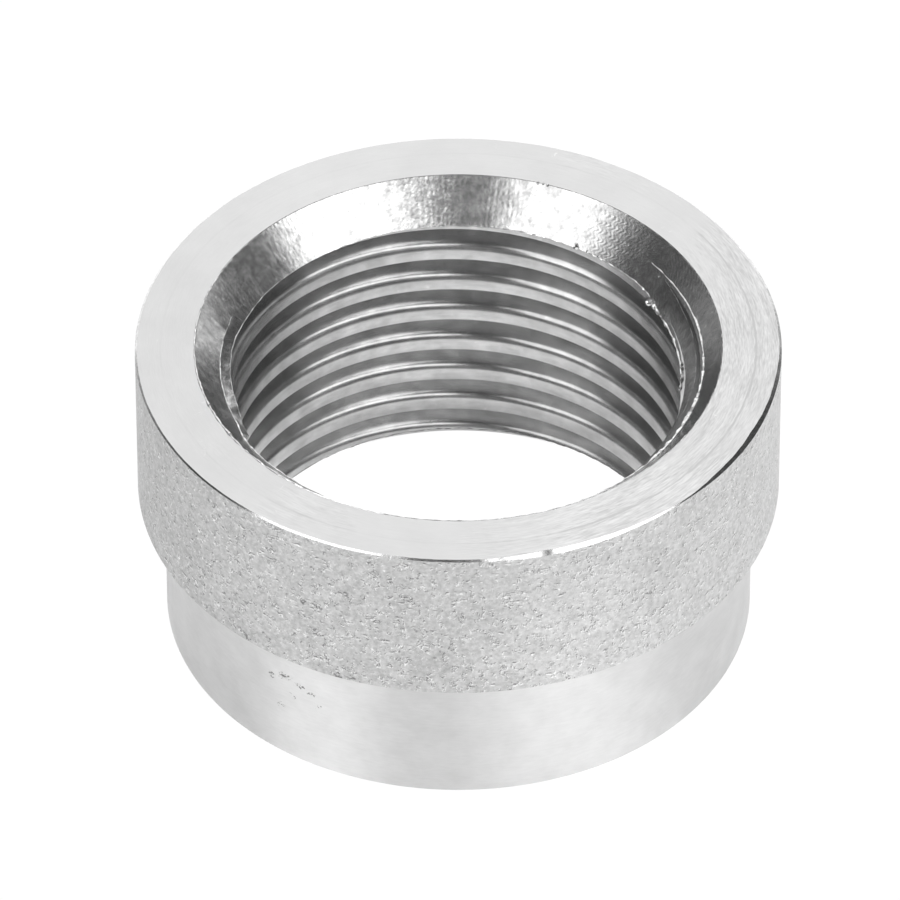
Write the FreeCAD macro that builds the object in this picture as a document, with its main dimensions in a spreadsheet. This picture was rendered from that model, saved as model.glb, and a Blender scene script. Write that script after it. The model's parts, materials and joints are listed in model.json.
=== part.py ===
import FreeCAD, Part
import os
import Sketcher

# Weld bung: one turned, stepped ring with a tapped bore, welded over a hole in a pipe wall.
# The spigot drops into the hole, the wider flange seats on the pipe and takes the weld bead,
# and a sensor or plug screws in from the flange end.
# Frame: the origin is on the axis at the spigot's end face, and +Z runs up to the flange face.
# The bore is at the minor diameter of its M18 x 1.5 thread, where the thread's crests lie.

# Driving dimensions, in millimetres and degrees
driving_sizes = [
    ("flange_diameter", 24.0, "bar stock that the ring is turned from"),
    ("flange_height", 6.6, "from the shoulder up to the flange face"),
    ("shoulder_width", 1.0, "how deep the spigot is turned down below the flange"),
    ("spigot_height", 5.8, "from the end face up to the shoulder"),
    ("thread_diameter", 18.0, "major diameter of the thread, at its root"),
    ("thread_height", 0.575, "from the thread's root in to its crest"),
    ("mouth_relief", 0.8, "how far the countersink at the flange face opens past the thread"),
    ("mouth_angle", 90.0, "included angle of that countersink"),
    ("exit_relief", 0.3, "how far the countersink at the end face opens past the thread"),
    ("exit_angle", 90.0, "included angle of that countersink"),
    ("face_edge_break", 0.15, "chamfer round the flange face"),
    ("shoulder_edge_break", 0.1, "chamfer round the shoulder"),
    ("spigot_edge_break", 0.1, "chamfer round the spigot's end face"),
    ("shoulder_root_radius", 0.2, "left in the corner by the nose of the turning tool"),
]

doc = FreeCAD.newDocument("WeldBung")

sheet = doc.addObject("Spreadsheet::Sheet", "Sizes")
for row, (alias, value, note) in enumerate(driving_sizes, start=1):
    sheet.set(f"A{row}", alias)
    sheet.set(f"B{row}", str(value))
    sheet.set(f"C{row}", note)
    sheet.setAlias(f"B{row}", alias)
doc.recompute()

# Sizes that the sections and edges share, as expressions on the sheet
on_axis = "0"
on_base = "0"
flange_radius = "Sizes.flange_diameter / 2"
spigot_radius = "Sizes.flange_diameter / 2 - Sizes.shoulder_width"
bore_radius = "Sizes.thread_diameter / 2 - Sizes.thread_height"
mouth_radius = "Sizes.thread_diameter / 2 + Sizes.mouth_relief"
exit_radius = "Sizes.thread_diameter / 2 + Sizes.exit_relief"
shoulder_level = "Sizes.spigot_height"
face_level = "Sizes.spigot_height + Sizes.flange_height"
mouth_cone_tip = f"{face_level} - ({mouth_radius}) / tan(Sizes.mouth_angle / 2)"
exit_cone_tip = f"({exit_radius}) / tan(Sizes.exit_angle / 2)"

# How near an edge must lie to the circle that it is looked up by
matching_distance = 0.001


def size_of(expression):
    """The present value of an expression, in millimetres."""
    return float(sheet.evalExpression(expression))


def origin_item(body, role):
    """One of the body's own origin planes or axes, found by its role."""
    for item in body.Origin.OriginFeatures:
        if item.Role == role:
            return item
    raise RuntimeError(f"{body.Label} has no {role}")


def hold_corner(sketch, index, direction, expression):
    """Hold a corner of the sketch on the axis or the base, or at its size from there."""
    if expression in (on_axis, on_base):
        line = -2 if direction == "DistanceX" else -1
        sketch.addConstraint(Sketcher.Constraint("PointOnObject", index, 1, line))
        return
    size = size_of(expression)
    held = sketch.addConstraint(Sketcher.Constraint(direction, -1, 1, index, 1, size))
    name = f"corner_{index}_{'radius' if direction == 'DistanceX' else 'height'}"
    sketch.renameConstraint(held, name)
    sketch.setExpression(f"Constraints.{name}", expression)


def half_section(body, name, corners):
    """A closed outline on the plane through the axis, from corners of (radius, height).

    A side whose corners share a radius is held upright, and one whose corners share a height
    is held level, so each size is dimensioned once.
    """
    sketch = body.newObject("Sketcher::SketchObject", name)
    sketch.AttachmentSupport = [(origin_item(body, "XZ_Plane"), "")]
    sketch.MapMode = "FlatFace"
    places = [FreeCAD.Vector(size_of(radius), size_of(height), 0) for radius, height in corners]
    for index, place in enumerate(places):
        sketch.addGeometry(Part.LineSegment(place, places[(index + 1) % len(places)]), False)
    for index, (radius, height) in enumerate(corners):
        previous = (index - 1) % len(corners)
        sketch.addConstraint(Sketcher.Constraint("Coincident", previous, 2, index, 1))
        if radius == corners[previous][0]:
            sketch.addConstraint(Sketcher.Constraint("Vertical", previous))
        else:
            hold_corner(sketch, index, "DistanceX", radius)
        if height == corners[previous][1]:
            sketch.addConstraint(Sketcher.Constraint("Horizontal", previous))
        else:
            hold_corner(sketch, index, "DistanceY", height)
    return sketch


def turn(body, kind, name, sketch):
    """Turn the section all the way round the axis, as material or as a cut."""
    feature = body.newObject(kind, name)
    feature.Profile = sketch
    feature.ReferenceAxis = (origin_item(body, "Z_Axis"), [""])
    feature.Angle = 360
    doc.recompute()
    return feature


def round_edge(feature, radius, height):
    """The name of the feature's circular edge of this radius at this height."""
    for number, edge in enumerate(feature.Shape.Edges, start=1):
        circle = edge.Curve
        if not isinstance(circle, Part.Circle):
            continue
        off_radius = abs(circle.Radius - size_of(radius))
        off_height = abs(circle.Center.z - size_of(height))
        if max(off_radius, off_height) < matching_distance:
            return f"Edge{number}"
    raise RuntimeError(f"{feature.Name} has no edge at {radius}, {height}")


def dress_edge(body, kind, name, size, expression, radius, height):
    """Chamfer or round the circular edge of this radius and height."""
    base = body.Tip
    edge = round_edge(base, radius, height)
    feature = body.newObject(kind, name)
    feature.Base = (base, [edge])
    feature.setExpression(size, expression)
    doc.recompute()


# The stepped ring, turned round the axis: spigot below, flange above
bung = doc.addObject("PartDesign::Body", "WeldBungBody")
bung.Label = "weld_bung"
bung.Placement = FreeCAD.Placement()
ring_section = half_section(bung, "RingSection", [
    (bore_radius, on_base),
    (spigot_radius, on_base),
    (spigot_radius, shoulder_level),
    (flange_radius, shoulder_level),
    (flange_radius, face_level),
    (bore_radius, face_level),
])
ring = turn(bung, "PartDesign::Revolution", "TurnedRing", ring_section)

# Both ends of the bore are opened by the cone of a countersink
mouth_section = half_section(bung, "MouthConeSection", [
    (on_axis, face_level),
    (on_axis, mouth_cone_tip),
    (mouth_radius, face_level),
])
mouth = turn(bung, "PartDesign::Groove", "MouthCountersink", mouth_section)
exit_section = half_section(bung, "ExitConeSection", [
    (on_axis, on_base),
    (exit_radius, on_base),
    (on_axis, exit_cone_tip),
])
exit_cut = turn(bung, "PartDesign::Groove", "ExitCountersink", exit_section)

# The corner under the flange keeps the tool's radius, and the outer edges are broken
dress_edge(bung, "PartDesign::Fillet", "ShoulderRoot", "Radius",
           "Sizes.shoulder_root_radius", spigot_radius, shoulder_level)
dress_edge(bung, "PartDesign::Chamfer", "FaceEdgeBreak", "Size",
           "Sizes.face_edge_break", flange_radius, face_level)
dress_edge(bung, "PartDesign::Chamfer", "ShoulderEdgeBreak", "Size",
           "Sizes.shoulder_edge_break", flange_radius, shoulder_level)
dress_edge(bung, "PartDesign::Chamfer", "SpigotEdgeBreak", "Size",
           "Sizes.spigot_edge_break", spigot_radius, on_base)
doc.recompute()

# Nothing is written unless every object is sound
for item in doc.Objects:
    if "Invalid" in item.State or "Error" in item.State:
        raise RuntimeError(f"{item.Name} failed: {item.State}")
if bung.Shape.isNull() or not bung.Shape.isValid() or len(bung.Shape.Solids) != 1:
    raise RuntimeError("the bung is not one valid solid")
if mouth.Shape.Volume >= ring.Shape.Volume or exit_cut.Shape.Volume >= mouth.Shape.Volume:
    raise RuntimeError("a countersink cut nothing")

os.makedirs("parts", exist_ok=True)
bung.Shape.exportStep(f"parts/{bung.Label}.step")
box = bung.Shape.BoundBox
print(f"{bung.Label}: {box.XLength:.2f} x {box.YLength:.2f} x {box.ZLength:.2f} mm,",
      f"{bung.Shape.Volume:.1f} mm3, {len(bung.Shape.Faces)} faces")
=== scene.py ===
import json
import math

import bmesh
import bpy
from mathutils import Matrix, Vector, noise


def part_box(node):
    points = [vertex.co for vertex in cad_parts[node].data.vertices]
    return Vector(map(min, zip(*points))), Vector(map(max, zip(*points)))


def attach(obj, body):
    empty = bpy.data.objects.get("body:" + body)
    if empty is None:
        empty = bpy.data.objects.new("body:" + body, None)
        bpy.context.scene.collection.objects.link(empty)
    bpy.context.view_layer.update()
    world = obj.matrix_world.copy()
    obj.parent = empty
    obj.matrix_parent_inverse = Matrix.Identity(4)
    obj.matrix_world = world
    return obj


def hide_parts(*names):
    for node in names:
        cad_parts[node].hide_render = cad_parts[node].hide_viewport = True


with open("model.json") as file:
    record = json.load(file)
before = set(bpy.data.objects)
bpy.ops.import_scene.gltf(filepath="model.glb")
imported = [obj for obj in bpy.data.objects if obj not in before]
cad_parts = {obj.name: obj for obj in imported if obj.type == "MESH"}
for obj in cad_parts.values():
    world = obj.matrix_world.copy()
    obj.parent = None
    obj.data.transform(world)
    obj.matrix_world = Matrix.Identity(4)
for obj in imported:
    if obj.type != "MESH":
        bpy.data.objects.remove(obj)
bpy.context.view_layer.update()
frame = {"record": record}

# Weld bung: a ring turned from stainless bar, with a right-hand M18 x 1.5 thread tapped through
# it. Its sizes are in millimetres and its meshes are scaled to metres when they are finished.
metresPerMm = 0.001
partLow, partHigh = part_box("weld_bung")
mounts = {mount["name"]: mount for mount in frame["record"]["mounts"]}


def srgb(hexColour):
    channels = [int(hexColour[i:i + 2], 16) / 255 for i in (1, 3, 5)]
    return [c / 12.92 if c <= 0.04045 else ((c + 0.055) / 1.055) ** 2.4 for c in channels] + [1.0]


def addNode(tree, kind, inputs=None, out=0, **settings):
    node = tree.nodes.new(kind)
    for name, value in settings.items():
        setattr(node, name, value)
    for name, value in (inputs or {}).items():
        if isinstance(value, bpy.types.NodeSocket):
            tree.links.new(value, node.inputs[name])
        else:
            node.inputs[name].default_value = value
    return node.outputs[out] if node.outputs else node


def newMaterial(name, hexColour, roughness, metallic=1.0):
    material = bpy.data.materials.new(name)
    material.use_nodes = True
    tree = material.node_tree
    tree.nodes.clear()
    surface = addNode(tree, "ShaderNodeBsdfPrincipled",
                      {"Base Color": srgb(hexColour), "Metallic": metallic, "Roughness": roughness})
    addNode(tree, "ShaderNodeOutputMaterial", {"Surface": surface})
    return material, tree, surface.node


# Millimetres from the origin, with the radius, the height, the direction and the angle round the axis.
def polar(tree):
    coords = addNode(tree, "ShaderNodeTexCoord", out="Object")
    place = addNode(tree, "ShaderNodeVectorMath", {0: coords, "Scale": 1 / metresPerMm}, operation="SCALE")
    flat = addNode(tree, "ShaderNodeVectorMath", {0: place, 1: (1, 1, 0)}, operation="MULTIPLY")
    radius = addNode(tree, "ShaderNodeVectorMath", {0: flat}, out="Value", operation="LENGTH")
    around = addNode(tree, "ShaderNodeVectorMath", {0: flat}, operation="NORMALIZE")
    x, y, height = addNode(tree, "ShaderNodeSeparateXYZ", {0: place}).node.outputs
    angle = addNode(tree, "ShaderNodeMath", {0: y, 1: x}, operation="ARCTAN2")
    return place, radius, height, around, angle


# Noise drawn out along the tool's path: slow round the axis, fast across the marks.
def toolMarks(tree, around, across, turns, perMm, detail=3.0):
    line = addNode(tree, "ShaderNodeMath", {0: across, 1: perMm}, operation="MULTIPLY")
    lines = addNode(tree, "ShaderNodeCombineXYZ", {"Z": line})
    ring = addNode(tree, "ShaderNodeVectorMath", {0: around, "Scale": turns}, operation="SCALE")
    vector = addNode(tree, "ShaderNodeVectorMath", {0: ring, 1: lines}, operation="ADD")
    return addNode(tree, "ShaderNodeTexNoise", {"Vector": vector, "Scale": 1.0, "Detail": detail})


# A wave of evenly spaced ripples whose phase wanders with a slow noise.
def ripples(tree, across, perUnit, place, wander, drift=0.8):
    slow = addNode(tree, "ShaderNodeTexNoise", {"Vector": place, "Scale": drift, "Detail": 2.0})
    phase = addNode(tree, "ShaderNodeMath", {0: slow, 1: wander}, operation="MULTIPLY")
    angle = addNode(tree, "ShaderNodeMath", {0: across, 1: perUnit, 2: phase}, operation="MULTIPLY_ADD")
    return addNode(tree, "ShaderNodeMath", {0: angle}, operation="SINE")


# Thin curled lines, where a noise passes its middle value, kept only in broken stretches.
def curls(tree, place, shift, perMm, half, keep):
    moved = addNode(tree, "ShaderNodeVectorMath", {0: place, 1: shift}, operation="ADD")
    curl = addNode(tree, "ShaderNodeTexNoise",
                   {"Vector": moved, "Scale": perMm, "Detail": 2.0, "Distortion": 0.6})
    offCentre = addNode(tree, "ShaderNodeMath", {0: curl, 1: 0.5}, operation="SUBTRACT")
    ridge = addNode(tree, "ShaderNodeMath", {0: offCentre}, operation="ABSOLUTE")
    thin = addNode(tree, "ShaderNodeMapRange", {"Value": ridge, "From Min": half * 0.3, "From Max": half,
                   "To Min": 1.0, "To Max": 0.0}, interpolation_type="SMOOTHSTEP")
    gate = addNode(tree, "ShaderNodeTexNoise", {"Vector": moved, "Scale": perMm * 0.55, "Detail": 3.0})
    kept = addNode(tree, "ShaderNodeMapRange", {"Value": gate, "From Min": keep, "From Max": keep + 0.08})
    return addNode(tree, "ShaderNodeMath", {0: thin, 1: kept}, operation="MULTIPLY")


# Small damage at chosen places: 1 inside a mark, 0 outside, broken into specks.
def marksAt(tree, place, marks):
    ragged = addNode(tree, "ShaderNodeTexNoise",
                     {"Vector": place, "Scale": 7.0, "Detail": 3.0}, out="Color")
    shift = addNode(tree, "ShaderNodeVectorMath", {0: ragged, 1: (0.5, 0.5, 0.5)}, operation="SUBTRACT")
    moved = addNode(tree, "ShaderNodeVectorMath", {0: shift, 1: (1.1, 1.1, 0.5), 2: place},
                    operation="MULTIPLY_ADD")
    total = 0.0
    for azimuth, radius, height, size in marks:
        angle = math.radians(azimuth)
        centre = (radius * math.cos(angle), radius * math.sin(angle), height)
        away = addNode(tree, "ShaderNodeVectorMath", {0: moved, 1: centre}, out="Value",
                       operation="DISTANCE")
        one = addNode(tree, "ShaderNodeMapRange", {"Value": away, "From Min": size * 0.5, "From Max": size,
                      "To Min": 1.0, "To Max": 0.0}, interpolation_type="SMOOTHSTEP")
        total = addNode(tree, "ShaderNodeMath", {0: one, 1: total}, operation="MAXIMUM")
    return total


# The gloss spreads across fine marks: across turned ones at a quarter turn, across chatter at none.
def spreadGloss(tree, shader, amount, turn=0.25):
    shader.inputs["Anisotropic"].default_value = amount
    shader.inputs["Anisotropic Rotation"].default_value = turn
    tangent = addNode(tree, "ShaderNodeTangent", direction_type="RADIAL", axis="Z")
    tree.links.new(tangent, shader.inputs["Tangent"])


# One stainless bar, finished six ways.
# Faced on the lathe and left as it came off the tool: rings 0.05 mm apart from the feed, plainer in
# some places, so that its gloss is drawn out towards and away from the axis.
def turnedFace():
    material, tree, shader = newMaterial("turnedFace", "#dcdcdc", 0.3)
    place, radius, height, around, angle = polar(tree)
    fine = toolMarks(tree, around, radius, 26, 20, 2.0)
    coarse = toolMarks(tree, around, radius, 5, 4.5, 2.0)
    both = addNode(tree, "ShaderNodeMath", {0: coarse, 1: 0.6, 2: fine}, operation="MULTIPLY_ADD")
    centred = addNode(tree, "ShaderNodeMath", {0: both, 1: 0.8}, operation="SUBTRACT")
    patch = addNode(tree, "ShaderNodeTexNoise", {"Vector": place, "Scale": 0.2, "Detail": 2.0})
    aside = addNode(tree, "ShaderNodeVectorMath", {0: place, 1: (0.026, -0.014, 0)}, out="Value",
                    operation="DOT_PRODUCT")
    worked = addNode(tree, "ShaderNodeMath", {0: aside, 1: patch}, operation="ADD")
    strength = addNode(tree, "ShaderNodeMapRange", {"Value": worked, "From Min": 0.52, "From Max": 0.8,
                       "To Min": 0.2, "To Max": 2.1})
    cloud = addNode(tree, "ShaderNodeTexNoise", {"Vector": place, "Scale": 0.7, "Detail": 4.0})
    level = addNode(tree, "ShaderNodeMath", {0: cloud, 1: 0.35, 2: 0.325}, operation="MULTIPLY_ADD")
    marked = addNode(tree, "ShaderNodeMath", {0: centred, 1: strength, 2: level}, operation="MULTIPLY_ADD")
    # one fine ring where the tool paused, 0.95 mm in from the edge
    pausedAt = bung["flangeRadius"] - 0.95
    ringOff = addNode(tree, "ShaderNodeMath", {0: radius, 1: pausedAt}, operation="SUBTRACT")
    ringAway = addNode(tree, "ShaderNodeMath", {0: ringOff}, operation="ABSOLUTE")
    ringLine = addNode(tree, "ShaderNodeMapRange", {"Value": ringAway, "From Min": 0.01, "From Max": 0.06,
                       "To Min": -0.35, "To Max": 0.0})
    scored = addNode(tree, "ShaderNodeMath", {0: ringLine, 1: strength, 2: marked},
                     operation="MULTIPLY_ADD")
    nicks = curls(tree, place, (9, 2, 0), 2.6, 0.02, 0.66)
    tone = addNode(tree, "ShaderNodeMath", {0: nicks, 1: 0.5, 2: scored}, operation="MULTIPLY_ADD")
    colour = addNode(tree, "ShaderNodeMixRGB", {0: tone, 1: srgb("#c6c6c6"), 2: srgb("#e8e8e8")})
    tree.links.new(colour, shader.inputs["Base Color"])
    normal = addNode(tree, "ShaderNodeBump", {"Height": both, "Distance": 3.0e-6})
    tree.links.new(normal, shader.inputs["Normal"])
    spreadGloss(tree, shader, 0.6)
    return material


# Finish-turned spigot and shoulder, satin: its marks, 0.1 mm apart, run round it, and its gloss
# runs up and down in broad soft bands.
def turnedSide():
    material, tree, shader = newMaterial("turnedSide", "#d2d2d2", 0.42)
    place, radius, height, around, angle = polar(tree)
    fine = toolMarks(tree, around, height, 24, 11)
    cloud = addNode(tree, "ShaderNodeTexNoise", {"Vector": place, "Scale": 0.9, "Detail": 3.0})
    mixed = addNode(tree, "ShaderNodeMath", {0: cloud, 1: 1.6, 2: fine}, operation="MULTIPLY_ADD")
    pits = marksAt(tree, place, spigotPits)
    tone = addNode(tree, "ShaderNodeMapRange", {"Value": mixed, "From Min": 0.9, "From Max": 1.7})
    satin = addNode(tree, "ShaderNodeMixRGB", {0: tone, 1: srgb("#cecece"), 2: srgb("#d8d8d8")})
    colour = addNode(tree, "ShaderNodeMixRGB", {0: pits, 1: satin, 2: srgb("#7c7c7c")})
    tree.links.new(colour, shader.inputs["Base Color"])
    worn = addNode(tree, "ShaderNodeMath", {0: pits, 1: -6.0, 2: fine}, operation="MULTIPLY_ADD")
    normal = addNode(tree, "ShaderNodeBump", {"Height": worn, "Distance": 1.5e-6})
    tree.links.new(normal, shader.inputs["Normal"])
    spreadGloss(tree, shader, 0.9)
    return material


# The bar's own outside: descaled mill skin, grey and gritty, with curled flecks drawn as painted
# highlight beside painted shade, short scores along the turn drawn as painted shade with a painted
# highlight along their lip, and pits. Its grit is finer than a pixel, so it is drawn at 0.2 mm.
def barSkin():
    material, tree, shader = newMaterial("barSkin", "#bebebe", 0.5)
    place, radius, height, around, angle = polar(tree)
    grit = addNode(tree, "ShaderNodeTexNoise",
                   {"Vector": place, "Scale": 5.2, "Detail": 4.0, "Roughness": 0.7})
    cloud = addNode(tree, "ShaderNodeTexNoise", {"Vector": place, "Scale": 0.8, "Detail": 3.0})
    ground = addNode(tree, "ShaderNodeMath", {0: grit, 1: 0.95, 2: -0.1}, operation="MULTIPLY_ADD")
    clouded = addNode(tree, "ShaderNodeMath", {0: cloud, 1: 0.24, 2: ground}, operation="MULTIPLY_ADD")
    # the flecks' relief is painted into the colour: a painted highlight, and the same curls 0.03 to 0.05
    # mm aside as painted shade
    light = curls(tree, place, (0, 0, 0), 6.2, 0.045, 0.5)
    curlPaintedShade = curls(tree, place, (0.03, 0.02, -0.05), 6.2, 0.045, 0.53)
    curlShaded = addNode(tree, "ShaderNodeMath", {0: curlPaintedShade, 1: -0.5, 2: clouded}, operation="MULTIPLY_ADD")
    curlsPaintedRelief = addNode(tree, "ShaderNodeMath", {0: light, 1: 0.46, 2: curlShaded}, operation="MULTIPLY_ADD")
    # the scores are drawn as painted shade, with a painted highlight along a lip 0.07 mm above each
    scoreNoise = toolMarks(tree, around, height, 34, 8.5, 2.0)
    scores = addNode(tree, "ShaderNodeMapRange", {"Value": scoreNoise, "From Min": 0.66, "From Max": 0.74})
    raised = addNode(tree, "ShaderNodeMath", {0: height, 1: 0.07}, operation="ADD")
    lipNoise = toolMarks(tree, around, raised, 34, 8.5, 2.0)
    lipHighlights = addNode(tree, "ShaderNodeMapRange", {"Value": lipNoise, "From Min": 0.66, "From Max": 0.74})
    scored = addNode(tree, "ShaderNodeMath", {0: scores, 1: -0.42, 2: curlsPaintedRelief}, operation="MULTIPLY_ADD")
    lipHighlighted = addNode(tree, "ShaderNodeMath", {0: lipHighlights, 1: 0.35, 2: scored}, operation="MULTIPLY_ADD")
    pits = marksAt(tree, place, flangePits)
    pitted = addNode(tree, "ShaderNodeMath", {0: pits, 1: -0.45, 2: lipHighlighted}, operation="MULTIPLY_ADD")
    x = addNode(tree, "ShaderNodeSeparateXYZ", {0: place}, out="X")
    # the colour is a little lighter towards +X and darker towards -X
    tone = addNode(tree, "ShaderNodeMath", {0: x, 1: 0.008, 2: pitted}, operation="MULTIPLY_ADD")
    colour = addNode(tree, "ShaderNodeMixRGB", {0: tone, 1: srgb("#7e7e7e"), 2: srgb("#ececec")})
    tree.links.new(colour, shader.inputs["Base Color"])
    normal = addNode(tree, "ShaderNodeBump", {"Height": tone, "Distance": 1.6e-5})
    tree.links.new(normal, shader.inputs["Normal"])
    spreadGloss(tree, shader, 0.4)
    return material


# Countersunk by a tool that chattered: ripples 0.2 mm apart round the cone, bent and crossed by
# the feed into small scales, so that its gloss spreads round the cone.
def countersink():
    material, tree, shader = newMaterial("countersink", "#d6d6d6", 0.24)
    place, radius, height, around, angle = polar(tree)
    x, y, z = addNode(tree, "ShaderNodeSeparateXYZ", {0: place}).node.outputs
    feed = ripples(tree, radius, math.tau / 0.24, place, 14.0)
    # the feed bends the ripples into scales towards +X
    scaly = addNode(tree, "ShaderNodeMapRange", {"Value": x, "From Min": 2.6, "From Max": 4.4})
    bend = addNode(tree, "ShaderNodeMath", {0: scaly, 1: 0.008}, operation="MULTIPLY")
    bent = addNode(tree, "ShaderNodeMath", {0: feed, 1: bend, 2: angle}, operation="MULTIPLY_ADD")
    chatter = ripples(tree, bent, 290, place, 12.0)
    scale = addNode(tree, "ShaderNodeMath", {0: feed, 1: 0.5, 2: 0.8}, operation="MULTIPLY_ADD")
    crossed = addNode(tree, "ShaderNodeMath", {0: chatter, 1: scale}, operation="MULTIPLY")
    patch = addNode(tree, "ShaderNodeTexNoise", {"Vector": place, "Scale": 0.5, "Detail": 2.0})
    held = addNode(tree, "ShaderNodeMapRange", {"Value": patch, "From Min": 0.38, "From Max": 0.6,
                   "To Min": 0.05, "To Max": 0.7})
    firm = addNode(tree, "ShaderNodeMath", {0: scaly, 1: 0.75}, operation="MULTIPLY")
    held = addNode(tree, "ShaderNodeMath", {0: held, 1: firm}, operation="MAXIMUM")
    faded = addNode(tree, "ShaderNodeMapRange",
                    {"Value": y, "From Min": 0.0, "From Max": 4.0, "To Min": 0.0})
    chattered = addNode(tree, "ShaderNodeMath", {0: crossed, 1: faded}, operation="MULTIPLY")
    wave = addNode(tree, "ShaderNodeMath", {0: chattered, 1: held}, operation="MULTIPLY")
    peel = addNode(tree, "ShaderNodeTexNoise", {"Vector": place, "Scale": 5.6, "Detail": 2.0})
    streak = toolMarks(tree, around, radius, 46, 3.0)
    rough = addNode(tree, "ShaderNodeMath", {0: peel, 1: 4.2, 2: wave}, operation="MULTIPLY_ADD")
    surface = addNode(tree, "ShaderNodeMath", {0: streak, 1: 2.0, 2: rough}, operation="MULTIPLY_ADD")
    normal = addNode(tree, "ShaderNodeBump", {"Height": surface, "Distance": 1.2e-6})
    tree.links.new(normal, shader.inputs["Normal"])
    stain = addNode(tree, "ShaderNodeTexNoise",
                    {"Vector": place, "Scale": 2.4, "Detail": 6.0, "Roughness": 0.65})
    speck = curls(tree, place, (4, 4, 4), 5.0, 0.04, 0.58)
    mottled = addNode(tree, "ShaderNodeMath", {0: streak, 1: 0.3, 2: stain}, operation="MULTIPLY_ADD")
    tone = addNode(tree, "ShaderNodeMapRange", {"Value": mottled, "From Min": 0.45, "From Max": 0.85})
    # the cone is cleaner towards +X
    clean = addNode(tree, "ShaderNodeMapRange",
                    {"Value": x, "From Min": 3.0, "From Max": 7.0, "To Max": 0.45})
    even = addNode(tree, "ShaderNodeMixRGB", {0: clean, 1: tone, 2: (0.5, 0.5, 0.5, 1)})
    lit = addNode(tree, "ShaderNodeMath", {0: speck, 1: 0.6, 2: even}, operation="MULTIPLY_ADD")
    colour = addNode(tree, "ShaderNodeMixRGB", {0: lit, 1: srgb("#acacac"), 2: srgb("#f2f2f2")})
    tree.links.new(colour, shader.inputs["Base Color"])
    spreadGloss(tree, shader, 0.35, 0.0)
    return material


# Cut by the tap: smooth and a little dull, with a faint drag 0.2 mm wide along the helix.
def tappedThread():
    material, tree, shader = newMaterial("tappedThread", "#bebebe", 0.26)
    place, radius, height, around, angle = polar(tree)
    drag = toolMarks(tree, around, height, 12, 6)
    stain = addNode(tree, "ShaderNodeTexNoise", {"Vector": place, "Scale": 1.3, "Detail": 4.0})
    mixed = addNode(tree, "ShaderNodeMath", {0: drag, 1: 0.6, 2: stain}, operation="MULTIPLY_ADD")
    tone = addNode(tree, "ShaderNodeMapRange", {"Value": mixed, "From Min": 0.5, "From Max": 1.1})
    speck = curls(tree, place, (7, 1, 3), 4.0, 0.04, 0.66)
    lit = addNode(tree, "ShaderNodeMath", {0: speck, 1: 0.6, 2: tone}, operation="MULTIPLY_ADD")
    colour = addNode(tree, "ShaderNodeMixRGB", {0: lit, 1: srgb("#aeaeae"), 2: srgb("#cecece")})
    tree.links.new(colour, shader.inputs["Base Color"])
    normal = addNode(tree, "ShaderNodeBump", {"Height": drag, "Distance": 2.5e-6})
    tree.links.new(normal, shader.inputs["Normal"])
    spreadGloss(tree, shader, 0.5)
    return material


# Edges broken by hand and the torn metal of the burrs: bright, nearly polished.
def brokenEdge():
    material, tree, shader = newMaterial("brokenEdge", "#e0e0e0", 0.21)
    place, radius, height, around, angle = polar(tree)
    tear = addNode(tree, "ShaderNodeTexNoise", {"Vector": place, "Scale": 7.0, "Detail": 3.0})
    tone = addNode(tree, "ShaderNodeMapRange", {"Value": tear, "From Min": 0.35, "From Max": 0.65})
    bright = addNode(tree, "ShaderNodeMixRGB", {0: tone, 1: srgb("#cccccc"), 2: srgb("#f0f0f0")})
    nick = marksAt(tree, place, edgeNicks)
    colour = addNode(tree, "ShaderNodeMixRGB", {0: nick, 1: bright, 2: srgb("#8e8e8e")})
    tree.links.new(colour, shader.inputs["Base Color"])
    normal = addNode(tree, "ShaderNodeBump", {"Height": tear, "Distance": 2.0e-6})
    tree.links.new(normal, shader.inputs["Normal"])
    return material


bung = {
    "flangeRadius": round((partHigh.x - partLow.x) / 2 / metresPerMm, 2),
    "height": round(partHigh.z / metresPerMm, 2),
    "shoulderLevel": mounts["shoulder"]["pos_m"][2] / metresPerMm,
    "spigotRadius": mounts["spigot"]["dims"]["r_mm"],
    "crestRadius": mounts["threaded_bore"]["dims"]["r_mm"],
    "mouthRadius": 9.8,      # the countersinks are 90 degree cones, so depth follows radius
    "exitRadius": 9.3,
    "faceBreak": 0.15,
    "smallBreak": 0.1,
    "mouthLip": 0.014,       # a sharp edge, only just broken
    "rootFillet": 0.2,
    "steps": 480,            # facets in a full turn
    # the width in mm of the top edge's break at azimuths in degrees: it was filed unevenly
    "breakWidths": [(-180, 0.09), (-165, 0.06), (-131, 0.05), (-122, 0.07), (-104, 0.065), (-92, 0.07),
                    (-82, 0.08), (-76, 0.15), (-63, 0.11), (-55, 0.06), (-48, 0.035), (-43, 0.06),
                    (-37, 0.12), (-25, 0.16), (-12, 0.13), (0, 0.09), (180, 0.09)],
    # its depth as a share of its width
    "breakDrops": [(-180, 1), (-52, 1), (-44, 0.6), (10, 0.6), (30, 1), (180, 1)],
    "breakRagged": 0.16,     # share by which that width wanders
    "nickAt": -74.4,         # one nick in it, in degrees
    "nickDepth": 0.03,
    # Where the thread runs out, its thin edge is torn off from azimuth -153 to 37, bent over and
    # burnished before that, and turned in past the crests from -12 to 32.
    "coneEnds": [(-180, 8.85), (-158, 8.8), (-150, 9.06), (-140, 9.12), (-60, 9.1), (37, 9.1),
                 (40, 8.9), (150, 8.9), (165, 8.85), (180, 8.85)],
    "torn": (-153, 37),
    "lipRadii": [(-180, 8.47), (-160, 8.47), (-152, 8.425), (-16, 8.425), (-6, 8.28), (26, 8.27),
                 (33, 8.425), (158, 8.425), (168, 8.47), (180, 8.47)],
    "lipHeights": [(-180, 11.33), (-165, 11.32), (-150, 11.025), (-16, 11.025), (-6, 10.88),
                   (26, 10.87), (33, 11.025), (148, 11.025), (172, 11.32), (180, 11.33)],
}
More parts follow.
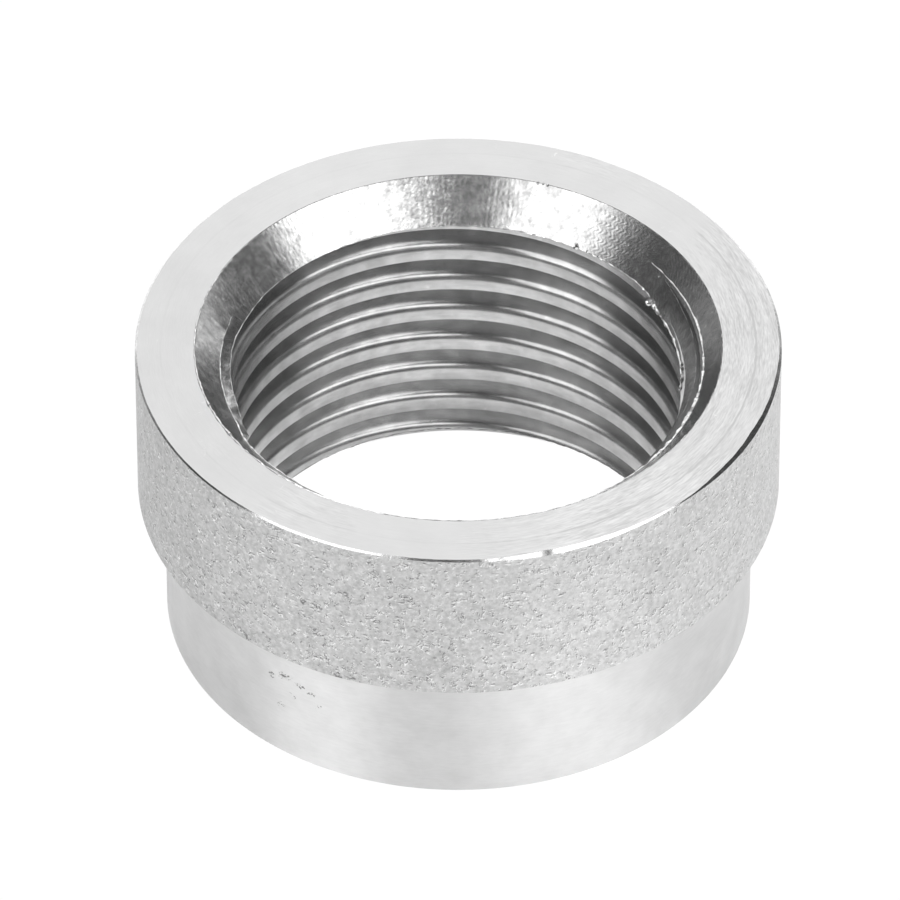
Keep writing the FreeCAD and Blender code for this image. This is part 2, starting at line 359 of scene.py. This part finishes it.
# Pits as azimuth, radius, height and size: on the spigot, on the flange's side and its top edge.
spigotPits = [
    (-129, 11, 3.7, 0.15), (-126.5, 11, 3.9, 0.17), (-125, 11, 3.95, 0.13), (-122.5, 11, 3.75, 0.12),
    (-119.6, 11, 3.6, 0.11), (-124, 11, 3.1, 0.1), (-118.5, 11, 3.1, 0.09), (-127, 11, 2.4, 0.08),
]
flangePits = [
    (-122.1, 12, 10.4, 0.13), (-118, 12, 9.1, 0.16), (-115.8, 12, 9.1, 0.17), (-118.8, 12, 8.4, 0.14),
    (-111.2, 12, 10.1, 0.15), (-115.1, 12, 7.7, 0.13), (-111.5, 12, 6.0, 0.2), (-109, 12, 6.05, 0.15),
    (-130.6, 12, 6.1, 0.16), (-54.9, 12, 8.8, 0.14), (-60, 12, 8.8, 0.14), (-29.7, 12, 6.2, 0.14),
    (-39.3, 12, 6.3, 0.15), (-95, 12, 8.9, 0.12), (-97, 12, 8.95, 0.11), (-88, 12, 6.2, 0.12),
]
edgeNicks = [(-74.6, 11.88, 12.37, 0.035), (-74.1, 11.94, 12.31, 0.035),
             (-138.5, 11.97, 12.36, 0.1), (-140, 11.97, 12.36, 0.08)]
materials = [turnedFace(), turnedSide(), barSkin(), countersink(), tappedThread(), brokenEdge()]
faceSlot, sideSlot, skinSlot, coneSlot, threadSlot, edgeSlot = range(len(materials))
print("materials made")


# The value at an azimuth between stations of azimuth and value.
def between(stations, azimuth):
    for (a, low), (b, high) in zip(stations, stations[1:]):
        if a <= azimuth <= b:
            return low + (high - low) * (azimuth - a) / (b - a)
    return stations[-1][1]


# Corners as radius and height, spun once round the axis, level or climbing by a rise.
def spinOutline(corners, steps, rise, closed):
    bm = bmesh.new()
    verts = [bm.verts.new((radius, 0, height)) for radius, height in corners]
    edges = [bm.edges.new((verts[i - 1], verts[i])) for i in range(len(verts))]
    bmesh.ops.spin(bm, geom=verts + edges, cent=(0, 0, 0), axis=(0, 0, 1), dvec=(0, 0, rise / steps),
                   angle=math.tau, steps=steps, use_merge=closed)
    return bm


# File the top edge's break to its uneven width, with one nick in it.
def fileBreak(bm):
    s = bung
    upperEnd = s["flangeRadius"] - s["faceBreak"]
    for vert in bm.verts:
        radius = math.hypot(vert.co.x, vert.co.y)
        azimuth = math.degrees(math.atan2(vert.co.y, vert.co.x))
        spot = Vector((vert.co.x, vert.co.y, 0))
        wander = noise.noise(spot * 0.9) + 0.7 * noise.noise(spot * 3.1)
        width = between(s["breakWidths"], azimuth) * (1 + s["breakRagged"] * wander)
        if abs(radius - s["flangeRadius"]) < 0.001 and vert.co.z > s["height"] - s["faceBreak"] - 0.001:
            drop = between(s["breakDrops"], azimuth)
            vert.co.z = s["height"] - width * drop * (1 + 0.06 * noise.noise(spot * 5))
        elif abs(radius - upperEnd) < 0.001 and vert.co.z > s["shoulderLevel"] + 1:
            nick = s["nickDepth"] * max(0, 1 - abs(azimuth - s["nickAt"]) / 1.1)
            inner = s["flangeRadius"] - width - nick
            vert.co.x *= inner / radius
            vert.co.y *= inner / radius


# The height of the middle of the groove that runs out through the cone, at azimuths -180 to 180.
def runOut(azimuth):
    turnsUp = math.floor((bung["height"] - thread["grooveAtRight"]) / thread["pitch"])
    return thread["grooveAtRight"] + thread["pitch"] * (turnsUp + azimuth / 360)


# Where the cone ends at an azimuth: its last true radius, the foot below that, and the lip.
def coneEnd(azimuth):
    s = bung
    slopeUp = s["height"] - s["mouthRadius"]
    end = between(s["coneEnds"], azimuth)
    lip = (between(s["lipRadii"], azimuth), between(s["lipHeights"], azimuth))
    foot = ((end + lip[0]) / 2, (end + slopeUp + lip[1]) / 2)
    low, high = s["torn"]
    if low < azimuth < high:
        foot = (end, min(end + slopeUp, runOut(azimuth) + 0.05))
    return (end, end + slopeUp), foot, lip


# Moves the spun rings at the cone's lower end to where the thread tore or rolled them.
def shapeConeEnd(bm, corners):
    rings = {corner: [] for corner in range(3)}
    for vert in bm.verts:
        radius = math.hypot(vert.co.x, vert.co.y)
        for index, (cornerRadius, cornerHeight) in enumerate(corners):
            if abs(radius - cornerRadius) < 0.001 and abs(vert.co.z - cornerHeight) < 0.001:
                rings[index].append(vert)
    for index, verts in rings.items():
        for vert in verts:
            azimuth = math.degrees(math.atan2(vert.co.y, vert.co.x))
            radius, height = coneEnd(azimuth)[index]
            wander = 0.012 * noise.noise(Vector((vert.co.x, vert.co.y, 0)) * 3.5)
            scale = (radius + wander) / math.hypot(vert.co.x, vert.co.y)
            vert.co = (vert.co.x * scale, vert.co.y * scale, height + wander)


# The ring before its thread is cut: its outline spun round the axis, one finish to each face.
def makeRing():
    s = bung
    coneDepth = s["mouthRadius"] - s["crestRadius"]
    slopeUp = s["height"] - s["mouthRadius"]
    # the rings that shapeConeEnd moves
    coneCorners = [(8.9, 8.9 + slopeUp), (8.7, 8.7 + slopeUp),
                   (s["crestRadius"], s["height"] - coneDepth)]
    fillet = [(s["spigotRadius"] + s["rootFillet"] * (1 - math.cos(math.radians(a))),
               s["shoulderLevel"] - s["rootFillet"] * (1 - math.sin(math.radians(a))))
              for a in (0, 30, 60, 90)]
    corners = [
        (s["exitRadius"], 0),
        (s["spigotRadius"] - s["smallBreak"], 0),
        (s["spigotRadius"], s["smallBreak"]),
        *fillet,
        (s["flangeRadius"] - s["smallBreak"], s["shoulderLevel"]),
        (s["flangeRadius"], s["shoulderLevel"] + s["smallBreak"]),
        (s["flangeRadius"], s["height"] - s["faceBreak"]),
        (s["flangeRadius"] - s["faceBreak"], s["height"]),
        (s["mouthRadius"] + s["mouthLip"], s["height"]),
        (s["mouthRadius"] - s["mouthLip"] * 0.7, s["height"] - s["mouthLip"] * 0.7),
        *coneCorners,
        (s["crestRadius"], s["height"] - coneDepth - 0.3),
        (s["crestRadius"], s["exitRadius"] - s["crestRadius"]),
    ]
    bm = spinOutline(corners, s["steps"], 0, True)
    bmesh.ops.recalc_face_normals(bm, faces=bm.faces)
    for face in bm.faces:
        middle = face.calc_center_median()
        radius = math.hypot(middle.x, middle.y)
        if abs(face.normal.z) < 0.1 and radius > s["flangeRadius"] - 0.01:
            face.material_index = skinSlot
        elif middle.z > s["height"] - 0.002 and radius > s["mouthRadius"]:
            face.material_index = faceSlot
        elif middle.z > s["height"] - s["faceBreak"] and radius > s["mouthRadius"] - 0.01:
            face.material_index = edgeSlot
        elif radius < s["crestRadius"] + 0.01:
            face.material_index = threadSlot
        elif radius < s["exitRadius"] or (radius < s["mouthRadius"] and middle.z > s["shoulderLevel"]):
            face.material_index = coneSlot
        else:
            face.material_index = sideSlot
    fileBreak(bm)
    shapeConeEnd(bm, coneCorners)
    return bm


thread = {
    "majorRadius": 9.0,
    "pitch": 1.5,
    "flankAngle": 30,
    "grooveAtRight": 1.065,  # height of a groove's middle above +X
    "crestRoundUp": 0.38,    # radius of the crests' upper corners, worn round
    "crestRoundDown": 0.06,  # and of their lower corners, nearly sharp
}


# Half of the groove's outline, from its root to past the crest, as radius and distance from its
# middle.
def grooveHalf(rounding):
    crest = bung["crestRadius"]
    slope = math.tan(math.radians(thread["flankAngle"]))
    rootHalf = thread["pitch"] / 16
    turnAngle = 90 - thread["flankAngle"]
    tangent = rounding * math.tan(math.radians(turnAngle / 2))
    outermost = rootHalf + (thread["majorRadius"] - crest) * slope + tangent
    arc = [(crest + rounding * (1 - math.cos(math.radians(a))),
            outermost - rounding * math.sin(math.radians(a))) for a in range(turnAngle, 0, -10)]
    return [(thread["majorRadius"], rootHalf), *arc,
            (crest - 0.0004, outermost), (crest - 0.3, outermost)]


# The groove's outline spun into one turn of a right-hand helix, then copied up the bore.
def makeCutter():
    start = thread["grooveAtRight"] - 2 * thread["pitch"]
    turns = math.ceil((bung["height"] - start) / thread["pitch"]) + 1
    above = [(radius, start + away) for radius, away in grooveHalf(thread["crestRoundDown"])]
    below = [(radius, start - away) for radius, away in reversed(grooveHalf(thread["crestRoundUp"]))]
    bm = spinOutline(above + below, bung["steps"], thread["pitch"], False)
    firstTurn = bm.verts[:] + bm.edges[:] + bm.faces[:]
    for turn in range(1, turns):
        copy = bmesh.ops.duplicate(bm, geom=firstTurn)["geom"]
        moved = [item for item in copy if isinstance(item, bmesh.types.BMVert)]
        bmesh.ops.translate(bm, vec=(0, 0, turn * thread["pitch"]), verts=moved)
    bmesh.ops.remove_doubles(bm, verts=bm.verts, dist=0.0005)
    bmesh.ops.holes_fill(bm, edges=[edge for edge in bm.edges if edge.is_boundary], sides=0)
    bmesh.ops.recalc_face_normals(bm, faces=bm.faces)
    for face in bm.faces:
        face.material_index = threadSlot
    return bm


def asObject(bm, name):
    mesh = bpy.data.meshes.new(name)
    bm.to_mesh(mesh)
    bm.free()
    for material in materials:
        mesh.materials.append(material)
    piece = bpy.data.objects.new(name, mesh)
    bpy.context.scene.collection.objects.link(piece)
    return piece


def evaluatedMesh(piece):
    bpy.context.view_layer.update()
    depsgraph = bpy.context.evaluated_depsgraph_get()
    return bpy.data.meshes.new_from_object(piece.evaluated_get(depsgraph))


def cutThread(ring, cutter):
    cut = ring.modifiers.new("thread", "BOOLEAN")
    cut.operation = "DIFFERENCE"
    cut.solver = "MANIFOLD"
    cut.object = cutter
    mesh = evaluatedMesh(ring)
    ring.modifiers.clear()
    ring.data = mesh
    bpy.data.objects.remove(cutter)


# Torn metal along the edges of the thread and the mouth: half its thickness in mm at azimuths in
# degrees.
burrs = {
    "threadEdge": [(-180, 0.012), (-150, 0.02), (-120, 0.02), (-60, 0.02), (-32, 0.012),
                   (-10, 0.03), (0, 0.044), (25, 0.04), (40, 0.022), (60, 0.018), (130, 0.01),
                   (150, 0.012), (180, 0.012)],
    "coneLine": [(-180, 0.02), (-160, 0.025), (-150, 0.045), (-138, 0.045), (-120, 0.02), (-60, 0.025),
                 (-36, 0.06), (-20, 0.1), (-8, 0.07), (10, 0.05), (37, 0.016), (165, 0.01), (180, 0.02)],
    "exitEdge": [(-180, 0.015), (180, 0.015)],
    "mouthEdge": [(-180, 0.036), (-140, 0.038), (-115, 0.016), (-50, 0.014), (-30, 0.02), (-12, 0.006),
                  (20, 0.004), (140, 0.004), (160, 0.024), (180, 0.036)],
    "spacing": 0.09,         # between the points of the torn edge
    "ragged": 0.9,           # share by which its thickness wanders
    # loose curls and beads as azimuth, radius, height and size
    "beads": [(30.4, 8.3, 10.92, 0.17), (28.0, 8.32, 10.9, 0.11), (26.6, 8.3, 10.9, 0.06),
              (25.4, 8.29, 10.9, 0.055), (24.0, 8.29, 10.9, 0.04), (58.2, 8.46, 11.04, 0.12),
              (54.8, 8.45, 11.03, 0.06), (51.5, 8.45, 11.03, 0.06), (72.1, 9.8, 12.39, 0.07),
              (70.9, 9.81, 12.39, 0.055), (69.8, 9.8, 12.39, 0.065), (33, 8.95, 11.55, 0.025)],
}


# A loop of points that always starts at the same one and runs anticlockwise.
def inOrder(spots):
    first = max(range(len(spots)), key=lambda i: 0.3 * spots[i].x + 0.95 * spots[i].y)
    spots = spots[first:] + spots[:first]
    if spots[0].x * spots[1].y < spots[0].y * spots[1].x:
        spots = spots[:1] + spots[:0:-1]
    return spots


# Chains of points along the edges between two kinds of face.
def edgeChains(bm, slots, low, high):
    border = [edge for edge in bm.edges if len(edge.link_faces) == 2
              and low < edge.verts[0].co.z < high
              and {face.material_index for face in edge.link_faces} == slots]
    left = set(border)
    chains = []
    for start in border:
        if start not in left:
            continue
        left.remove(start)
        chain = list(start.verts)
        step = start
        while step:
            step = next((edge for edge in chain[-1].link_edges if edge in left), None)
            if step:
                left.remove(step)
                chain.append(step.other_vert(chain[-1]))
        looped = chain[0] == chain[-1]
        spots = [vert.co.copy() for vert in chain]
        if looped:
            spots = inOrder(spots[:-1])
        points = spots[:1]
        for spot in spots[1:]:
            if (spot - points[-1]).length > burrs["spacing"]:
                points.append(spot)
        if len(points) > 8:
            chains.append((points, looped))
    return chains


# A raised burr: a thin tube of uneven thickness laid along a chain of points. On the thread's edge
# it fades to nothing outside the lip.
def layBurr(bm, points, looped, stations):
    curve = bpy.data.curves.new("burr", "CURVE")
    curve.dimensions = "3D"
    curve.bevel_depth = 1.0
    curve.bevel_resolution = 1
    spline = curve.splines.new("POLY")
    spline.points.add(len(points) - 1)
    spline.use_cyclic_u = looped
    for knot, point in zip(spline.points, points):
        wander = noise.noise(point * 2.2) + 1.3 * noise.noise(point * 7.5)
        azimuth = math.degrees(math.atan2(point.y, point.x))
        knot.radius = between(stations, azimuth) * max(0.15, 1 + burrs["ragged"] * wander)
        outside = math.hypot(point.x, point.y) > coneEnd(azimuth)[2][0] + 0.07
        if stations is burrs["threadEdge"] and outside:   # the rolled lip covers it there
            knot.radius = 0.003
        knot.co = (*(point + 0.02 * noise.noise_vector(point * 5)), 1)
    holder = bpy.data.objects.new("burr", curve)
    bpy.context.scene.collection.objects.link(holder)
    mesh = evaluatedMesh(holder)
    before = set(bm.faces)
    bm.from_mesh(mesh)
    laid = [face for face in bm.faces if face not in before]
    if not looped:   # its two ends are closed
        rims = [edge for edge in bm.edges if len(edge.link_faces) == 1]
        laid += bmesh.ops.holes_fill(bm, edges=rims)["faces"]
        bmesh.ops.recalc_face_normals(bm, faces=laid)
    for face in laid:
        face.material_index = edgeSlot
    bpy.data.objects.remove(holder)


# Beads and curls of metal that hang on the torn edges: small balls pulled out of shape.
def addBeads(bm):
    for azimuth, radius, height, size in burrs["beads"]:
        angle = math.radians(azimuth)
        centre = Vector((radius * math.cos(angle), radius * math.sin(angle), height))
        verts = bmesh.ops.create_icosphere(bm, subdivisions=2, radius=size)["verts"]
        for vert in verts:
            vert.co *= 1 + 0.45 * noise.noise(vert.co * 1.3 / size + centre)
        bmesh.ops.translate(bm, vec=centre, verts=verts)
        for face in {face for vert in verts for face in vert.link_faces}:
            face.material_index = edgeSlot


ring = asObject(makeRing(), "bungRing")
cutThread(ring, asObject(makeCutter(), "threadCutter"))
bm = bmesh.new()
bm.from_mesh(ring.data)
bmesh.ops.remove_doubles(bm, verts=bm.verts, dist=0.0003)
openEdges = sum(1 for edge in bm.edges if len(edge.link_faces) != 2)
print("bung ring", len(bm.faces), "faces, open edges", openEdges, "mm3", round(bm.calc_volume(), 1))
middle = bung["height"] / 2
coneEndPoints = []
for azimuth in range(-198, 38):
    radius, height = coneEnd((azimuth + 180) % 360 - 180)[0]
    coneEndPoints.append(Matrix.Rotation(math.radians(azimuth), 3, "Z") @ Vector((radius, 0, height)))
threadEdges = edgeChains(bm, {coneSlot, threadSlot}, middle, bung["height"])
exitEdges = edgeChains(bm, {coneSlot, threadSlot}, -1, middle)
mouthEdges = edgeChains(bm, {coneSlot, edgeSlot}, middle, bung["height"])
coneLines = [(coneEndPoints, False)]
for chains, stations in ((threadEdges, "threadEdge"), (exitEdges, "exitEdge"),
                         (mouthEdges, "mouthEdge"), (coneLines, "coneLine")):
    for points, looped in chains:
        layBurr(bm, points, looped, burrs[stations])
addBeads(bm)
print("burrs laid along", len(threadEdges + exitEdges + mouthEdges + coneLines), "edges")
bmesh.ops.scale(bm, vec=(metresPerMm,) * 3, verts=bm.verts)
triangles = sum(len(face.verts) - 2 for face in bm.faces)
openEdges = sum(1 for edge in bm.edges if len(edge.link_faces) != 2)
print("with burrs", triangles, "triangles, open edges", openEdges)
bm.to_mesh(ring.data)
bm.free()
ring.data.shade_smooth()
ring.data.set_sharp_from_angle(angle=math.radians(20))
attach(ring, "root")
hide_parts("weld_bung")


studio = {
    "floorHalf": 3.0,        # metres
    "floorGlow": 0.66,       # of the light table itself
    # its painted pools of light and one spot of painted shade in its glow, as x, y, inner and outer radius
    # in metres, and glow
    "paintedLightAndShade": [(0.008, -0.015, 0, 0.01, 0.6), (-0.006, -0.015, 0, 0.008, 0.1),
              (0, -0.001, 0.003, 0.009, 0.36), (0, 0.009, 0.001, 0.007, -0.36)],
    "roomLow": (0.45, 1.15), # the room's light at the horizon, left and right
    "roomHigh": 0.075,       # and overhead
    "boxDistance": 0.9,      # metres from the ring to each softbox
}
# Where each softbox hangs, seen from the ring (azimuth 0 is the camera's side, positive to its
# right), its half angles across and up, and how bright it looks. The cone and the thread show each
# of them as one of their bright stretches.
softboxes = {
    "rightBox": {"azimuth": 42.5, "elevation": 41, "across": 31.5, "up": 9.5, "glow": 2.5},
    "leftBox": {"azimuth": -50, "elevation": 35, "across": 17.5, "up": 22, "glow": 1.9},
    "lowBox": {"azimuth": -50, "elevation": 9, "across": 17, "up": 8, "glow": 2.2},
    "rightTop": {"azimuth": 72, "elevation": 69, "across": 12, "up": 9, "glow": 3.1},
    "leftTop": {"azimuth": -76, "elevation": 68, "across": 10, "up": 8, "glow": 0.2},
    "backBox": {"azimuth": 180, "elevation": 40, "across": 17, "up": 30, "glow": 1.15},
}


def makeFloor():
    mesh = bpy.data.meshes.new("lightTable")
    bm = bmesh.new()
    bmesh.ops.create_grid(bm, x_segments=1, y_segments=1, size=studio["floorHalf"])
    bm.to_mesh(mesh)
    bm.free()
    floor = bpy.data.objects.new("lightTable", mesh)
    bpy.context.scene.collection.objects.link(floor)
    floor.location.z = -0.00002      # just clear of the spigot's end
    # Opal acrylic lit from below. Its glow carries painted pools of light before the ring and in its bore,
    # and painted shade in the bore by its far wall, for the metal to reflect. The camera sees it blown out
    # to white.
    material, tree, shader = newMaterial("opalAcrylic", "#e6e6e6", 0.9, 0.0)
    shader.inputs["Emission Color"].default_value = srgb("#ffffff")
    coords = addNode(tree, "ShaderNodeTexCoord", out="Object")
    total = studio["floorGlow"]
    # each spot adds painted light to the table's glow, or painted shade where its glow is negative
    for x, y, inner, outer, glow in studio["paintedLightAndShade"]:
        away = addNode(tree, "ShaderNodeVectorMath", {0: coords, 1: (x, y, 0)}, out="Value",
                       operation="DISTANCE")
        paintedSpot = addNode(tree, "ShaderNodeMapRange", {"Value": away, "From Min": inner, "From Max": outer,
                       "To Min": glow, "To Max": 0.0}, interpolation_type="SMOOTHSTEP")
        total = addNode(tree, "ShaderNodeMath", {0: paintedSpot, 1: total}, operation="ADD")
    tree.links.new(total, shader.inputs["Emission Strength"])
    seen = addNode(tree, "ShaderNodeLightPath", out="Is Camera Ray")
    white = addNode(tree, "ShaderNodeEmission", {"Color": srgb("#ffffff"), "Strength": 1.02})
    both = addNode(tree, "ShaderNodeMixShader", {0: seen, 1: shader.outputs[0], 2: white})
    output = next(node for node in tree.nodes if node.type == "OUTPUT_MATERIAL")
    tree.links.new(both, output.inputs["Surface"])
    mesh.materials.append(material)


def makeWorld():
    world = bpy.data.worlds.new("studioRoom")
    bpy.context.scene.world = world
    world.use_nodes = True
    tree = world.node_tree
    tree.nodes.clear()
    direction = addNode(tree, "ShaderNodeTexCoord", out="Generated")
    x, y, rise = addNode(tree, "ShaderNodeSeparateXYZ", {0: direction}).node.outputs
    left, right = studio["roomLow"]
    low = addNode(tree, "ShaderNodeMapRange", {"Value": x, "From Min": -0.5, "From Max": 0.5,
                  "To Min": left, "To Max": right})
    glow = addNode(tree, "ShaderNodeMapRange", {"Value": rise, "From Min": 0.05, "From Max": 0.46,
                   "To Min": low, "To Max": studio["roomHigh"]}, interpolation_type="SMOOTHSTEP")
    background = addNode(tree, "ShaderNodeBackground", {"Strength": glow})
    addNode(tree, "ShaderNodeOutputWorld", {"Surface": background})


def hangSoftbox(name, box):
    light = bpy.data.lights.new(name, "AREA")
    light.shape = "RECTANGLE"
    light.size = 2 * studio["boxDistance"] * math.tan(math.radians(box["across"]))
    light.size_y = 2 * studio["boxDistance"] * math.tan(math.radians(box["up"]))
    light.energy = box["glow"] * math.pi * light.size * light.size_y
    lamp = bpy.data.objects.new(name, light)
    azimuth = math.radians(box["azimuth"])
    elevation = math.radians(box["elevation"])
    away = Vector((math.sin(azimuth) * math.cos(elevation), -math.cos(azimuth) * math.cos(elevation),
                   math.sin(elevation)))
    lamp.location = away * studio["boxDistance"]
    lamp.rotation_euler = away.to_track_quat("Z", "Y").to_euler()
    lamp.visible_camera = False
    bpy.context.scene.collection.objects.link(lamp)


# The photograph's camera, a long lens, from the rims' outlines.
view = {
    "elevation": 41.42,      # degrees
    "roll": -0.08,
    "focalPixels": 12192,
    "pixelsPerMm": 26.48,    # at the part's origin
    "originAt": (458.27, 593.02),
    "frame": 900,            # pixels across and down
}


def makeCamera():
    elevation = math.radians(view["elevation"])
    forward = Vector((0, math.cos(elevation), -math.sin(elevation)))
    right = Vector((1, 0, 0))
    up = right.cross(forward)
    distance = view["focalPixels"] / view["pixelsPerMm"] * metresPerMm
    across, down = [(pixel - view["frame"] / 2) / view["focalPixels"] for pixel in view["originAt"]]
    lens = bpy.data.cameras.new("camera")
    lens.sensor_width = 36
    lens.lens = view["focalPixels"] / view["frame"] * lens.sensor_width
    lens.clip_start = 0.01
    lens.clip_end = 20
    camera = bpy.data.objects.new("camera", lens)
    camera.location = distance * (down * up - across * right - forward)
    facing = Matrix((right, up, -forward)).transposed()
    camera.rotation_euler = (facing @ Matrix.Rotation(math.radians(view["roll"]), 3, "Z")).to_euler()
    bpy.context.scene.collection.objects.link(camera)
    bpy.context.scene.camera = camera
    bpy.context.scene.view_settings.view_transform = "Standard"


makeFloor()
makeWorld()
for name, box in softboxes.items():
    hangSoftbox(name, box)
makeCamera()
print("studio set")

bpy.context.view_layer.update()
